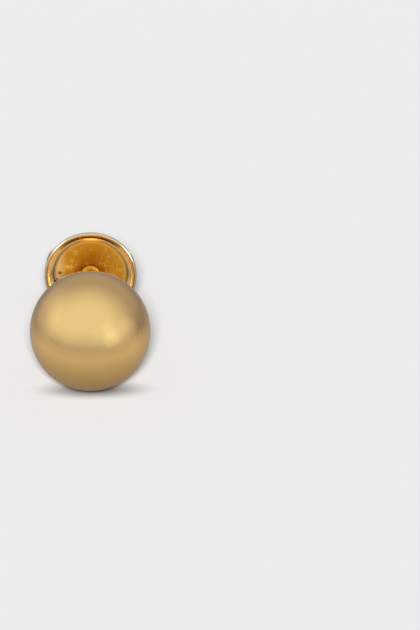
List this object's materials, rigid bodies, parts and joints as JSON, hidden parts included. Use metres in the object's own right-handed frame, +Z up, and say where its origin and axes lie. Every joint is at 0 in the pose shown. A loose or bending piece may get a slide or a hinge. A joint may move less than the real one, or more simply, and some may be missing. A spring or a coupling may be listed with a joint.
{
  "type": "ball stud earring",
  "caption": "Stud earring: a polished hollow gold-coloured ball on a straight post, with a dished disc-backed butterfly clutch that slides along the post.",
  "frame": {"origin": "on the surface that the earring lies on, under the middle of its box", "axes": "+Y from the ball towards the clutch, along the post seen from above; +Z up from the surface; the post slopes down by 5.6 degrees towards the clutch"},
  "size_m": [0.012, 0.024, 0.012],
  "materials": {
    "ball_gold": "mirror-polished pale gold plating",
    "post_gold": "drawn wire, gold plated",
    "clutch_gold": "stamped sheet, polished deep gold plating with fine scratches"
  },
  "bodies": {
    "stud": {"ball": "ball_gold", "post": "post_gold"},
    "clutch": {"clutch_disc": "clutch_gold", "butterfly": "clutch_gold"}
  },
  "joints": [
    {"name": "clutch_slide", "type": "slide", "parent": "stud", "child": "clutch", "axis": [0, 0.9953, -0.0972], "range_m": [-0.0065, 0.0055]}
  ]
}
